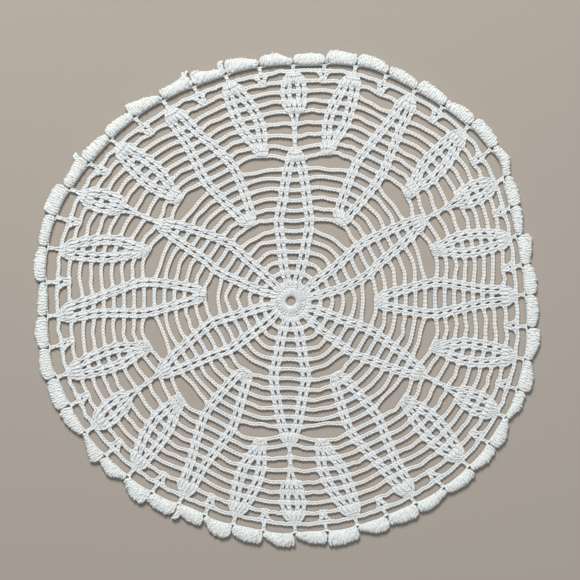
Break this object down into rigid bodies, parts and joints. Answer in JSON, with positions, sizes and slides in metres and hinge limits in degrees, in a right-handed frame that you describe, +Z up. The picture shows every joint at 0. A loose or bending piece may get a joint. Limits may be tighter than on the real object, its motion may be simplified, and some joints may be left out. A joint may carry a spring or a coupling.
{
  "type": "lace doily",
  "caption": "Round openwork doily crocheted in thick off-white cotton, with leaf-shaped petals, rounds of chain between them and a shell edging, lying flat.",
  "frame": {"origin": "on the surface it lies on, below the middle of its outline", "axes": "+Z up out of the upper face, +X along the middle petal on the right, +Y towards the far side of the outline, along a long petal"},
  "size_m": [0.3984, 0.391, 0.0042],
  "materials": {
    "cotton": "matt, softly fuzzy twisted cotton thread"
  },
  "bodies": {
    "root": {"doily": "cotton"}
  },
  "joints": []
}
